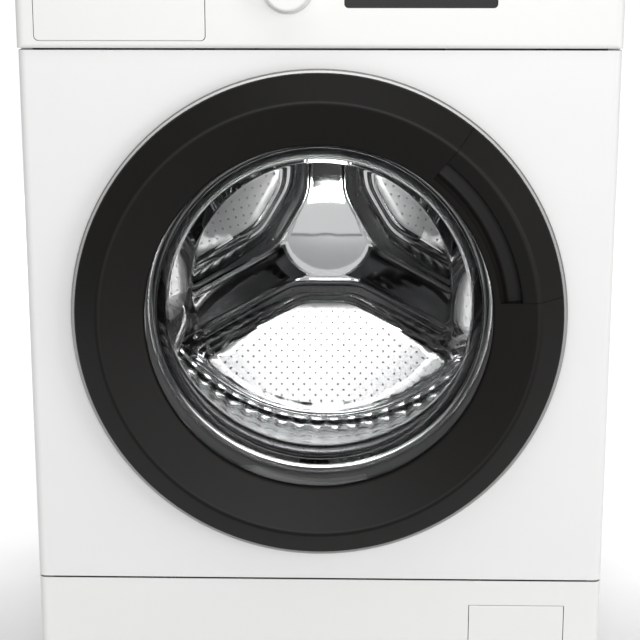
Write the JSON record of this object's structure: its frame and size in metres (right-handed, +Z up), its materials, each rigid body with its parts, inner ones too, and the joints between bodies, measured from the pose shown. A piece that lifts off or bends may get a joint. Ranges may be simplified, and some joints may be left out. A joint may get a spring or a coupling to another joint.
{
  "type": "front load washing machine",
  "caption": "Free-standing front load washing machine with a round glass door, spinning drum, belt drive, detergent drawer and service flap.",
  "frame": {"origin": "on the floor, under the middle of the overall box", "axes": "+Z up, the door faces -Y, +X to the right seen from the front"},
  "size_m": [0.598, 0.6, 0.845],
  "materials": {
    "white_enamel": "satin white enamel",
    "galvanised": "galvanised sheet",
    "zinc": "zinc plated",
    "stainless": "polished stainless",
    "worktop_board": "white laminated board",
    "white_plastic": "fine satin",
    "pale_plastic": "natural",
    "tub_plastic": "mineral filled grey",
    "black_plastic": "satin black",
    "dark_plastic": "matt dark grey",
    "silver_trim": "satin silver",
    "display_glass": "dark gloss",
    "bowl_glass": "clear",
    "lifter_plastic": "smooth dark grey",
    "seal_rubber": "dark grey",
    "black_rubber": "matt",
    "cast_iron": "black primer",
    "aluminium": "as cast",
    "bearing_steel": "ground",
    "motor_steel": "grey paint"
  },
  "bodies": {
    "cabinet": {"left_side_panel": "white_enamel", "right_side_panel": "white_enamel", "rear_panel": "galvanised", "rear_access_cover": "galvanised", "base_tray": "galvanised", "worktop": "worktop_board", "front_panel": "white_enamel", "fascia_panel": "white_plastic", "kick_panel": "white_plastic", "levelling_feet": "black_rubber", "cabinet_screws": "zinc", "dispenser_housing": "pale_plastic", "inlet_valve": "pale_plastic", "inlet_hose": "black_rubber", "drain_connector": "dark_plastic", "control_module": "pale_plastic", "display_window": "display_glass", "door_lock": "dark_plastic", "hinge_bracket": "zinc", "hinge_pin": "bearing_steel", "door_gasket": "seal_rubber", "drain_pump": "dark_plastic", "sump_hose": "black_rubber", "filling_hose": "black_rubber", "damper_rods": "zinc", "suspension_springs": "bearing_steel"},
    "tub": {"tub_front": "tub_plastic", "tub_rear": "tub_plastic", "tub_screws": "zinc", "front_counterweight": "cast_iron", "top_counterweight": "cast_iron", "drum_bearings": "bearing_steel", "motor_housing": "motor_steel", "damper_cylinders": "dark_plastic", "drive_belt": "black_rubber", "heater": "stainless"},
    "drum": {"drum_wrap": "stainless", "drum_back": "stainless", "drum_front_ring": "stainless", "lifter_1": "lifter_plastic", "lifter_2": "lifter_plastic", "lifter_3": "lifter_plastic", "drum_spider": "aluminium", "drum_shaft": "bearing_steel", "drum_pulley": "aluminium"},
    "rotor": {"motor_rotor": "aluminium"},
    "door": {"door_ring": "black_plastic", "door_trim_ring": "silver_trim", "door_inner_frame": "dark_plastic", "door_glass": "bowl_glass", "hinge_arm": "zinc"},
    "handle": {"door_handle": "black_plastic"},
    "hook": {"latch_hook": "zinc"},
    "knob": {"program_knob": "white_plastic"},
    "power_key": {"power_button": "white_plastic"},
    "start_key": {"start_button": "white_plastic"},
    "drawer": {"detergent_drawer": "pale_plastic", "drawer_front": "white_plastic"},
    "flap": {"service_flap": "white_plastic"},
    "filter": {"filter_cap": "dark_plastic"}
  },
  "joints": [
    {"name": "tub_suspension", "type": "slide", "parent": "cabinet", "child": "tub", "axis": [0, 0, 1], "range_m": [-0.008, 0.008], "stiffness_N_per_m": 18000, "springref_m": 0.02335, "deforming": ["suspension_springs", "door_gasket", "sump_hose", "filling_hose"]},
    {"name": "drum_spin", "type": "hinge", "parent": "tub", "child": "drum", "pos_m": [0, 0, 0.438], "axis": [0, -1, 0], "continuous": true},
    {"name": "motor_spin", "type": "hinge", "parent": "tub", "child": "rotor", "pos_m": [-0.12, 0, 0.13113], "axis": [0, -1, 0], "continuous": true},
    {"name": "door_swing", "type": "hinge", "parent": "cabinet", "child": "door", "pos_m": [-0.24, -0.2755, 0.43], "axis": [0, 0, -1], "range_deg": [0, 140]},
    {"name": "handle_pull", "type": "hinge", "parent": "door", "child": "handle", "pos_m": [0.20641, -0.279, 0.54441], "axis": [-0.4848, 0, 0.8746], "range_deg": [0, 8], "stiffness_Nm_per_rad": 2},
    {"name": "hook_release", "type": "hinge", "parent": "door", "child": "hook", "pos_m": [0.19417, -0.268, 0.53763], "axis": [-0.4848, 0, 0.8746], "range_deg": [0, 16]},
    {"name": "knob_turn", "type": "hinge", "parent": "cabinet", "child": "knob", "pos_m": [-0.03, -0.26, 0.76], "axis": [0, -1, 0], "continuous": true},
    {"name": "power_press", "type": "slide", "parent": "cabinet", "child": "power_key", "axis": [0, 1, 0], "range_m": [0, 0.0025], "stiffness_N_per_m": 600},
    {"name": "start_press", "type": "slide", "parent": "cabinet", "child": "start_key", "axis": [0, 1, 0], "range_m": [0, 0.0025], "stiffness_N_per_m": 600},
    {"name": "drawer_slide", "type": "slide", "parent": "cabinet", "child": "drawer", "axis": [0, -1, 0], "range_m": [0, 0.19]},
    {"name": "flap_swing", "type": "hinge", "parent": "cabinet", "child": "flap", "pos_m": [0.21, -0.256, 0.041], "axis": [1, 0, 0], "range_deg": [0, 95]},
    {"name": "filter_turn", "type": "hinge", "parent": "cabinet", "child": "filter", "pos_m": [0.21, -0.246, 0.076], "axis": [0, -1, 0], "continuous": true}
  ],
  "couplings": [
    {"joint": "motor_spin", "follows": "drum_spin", "ratio": 14.5},
    {"joint": "hook_release", "follows": "handle_pull", "ratio": 2}
  ]
}
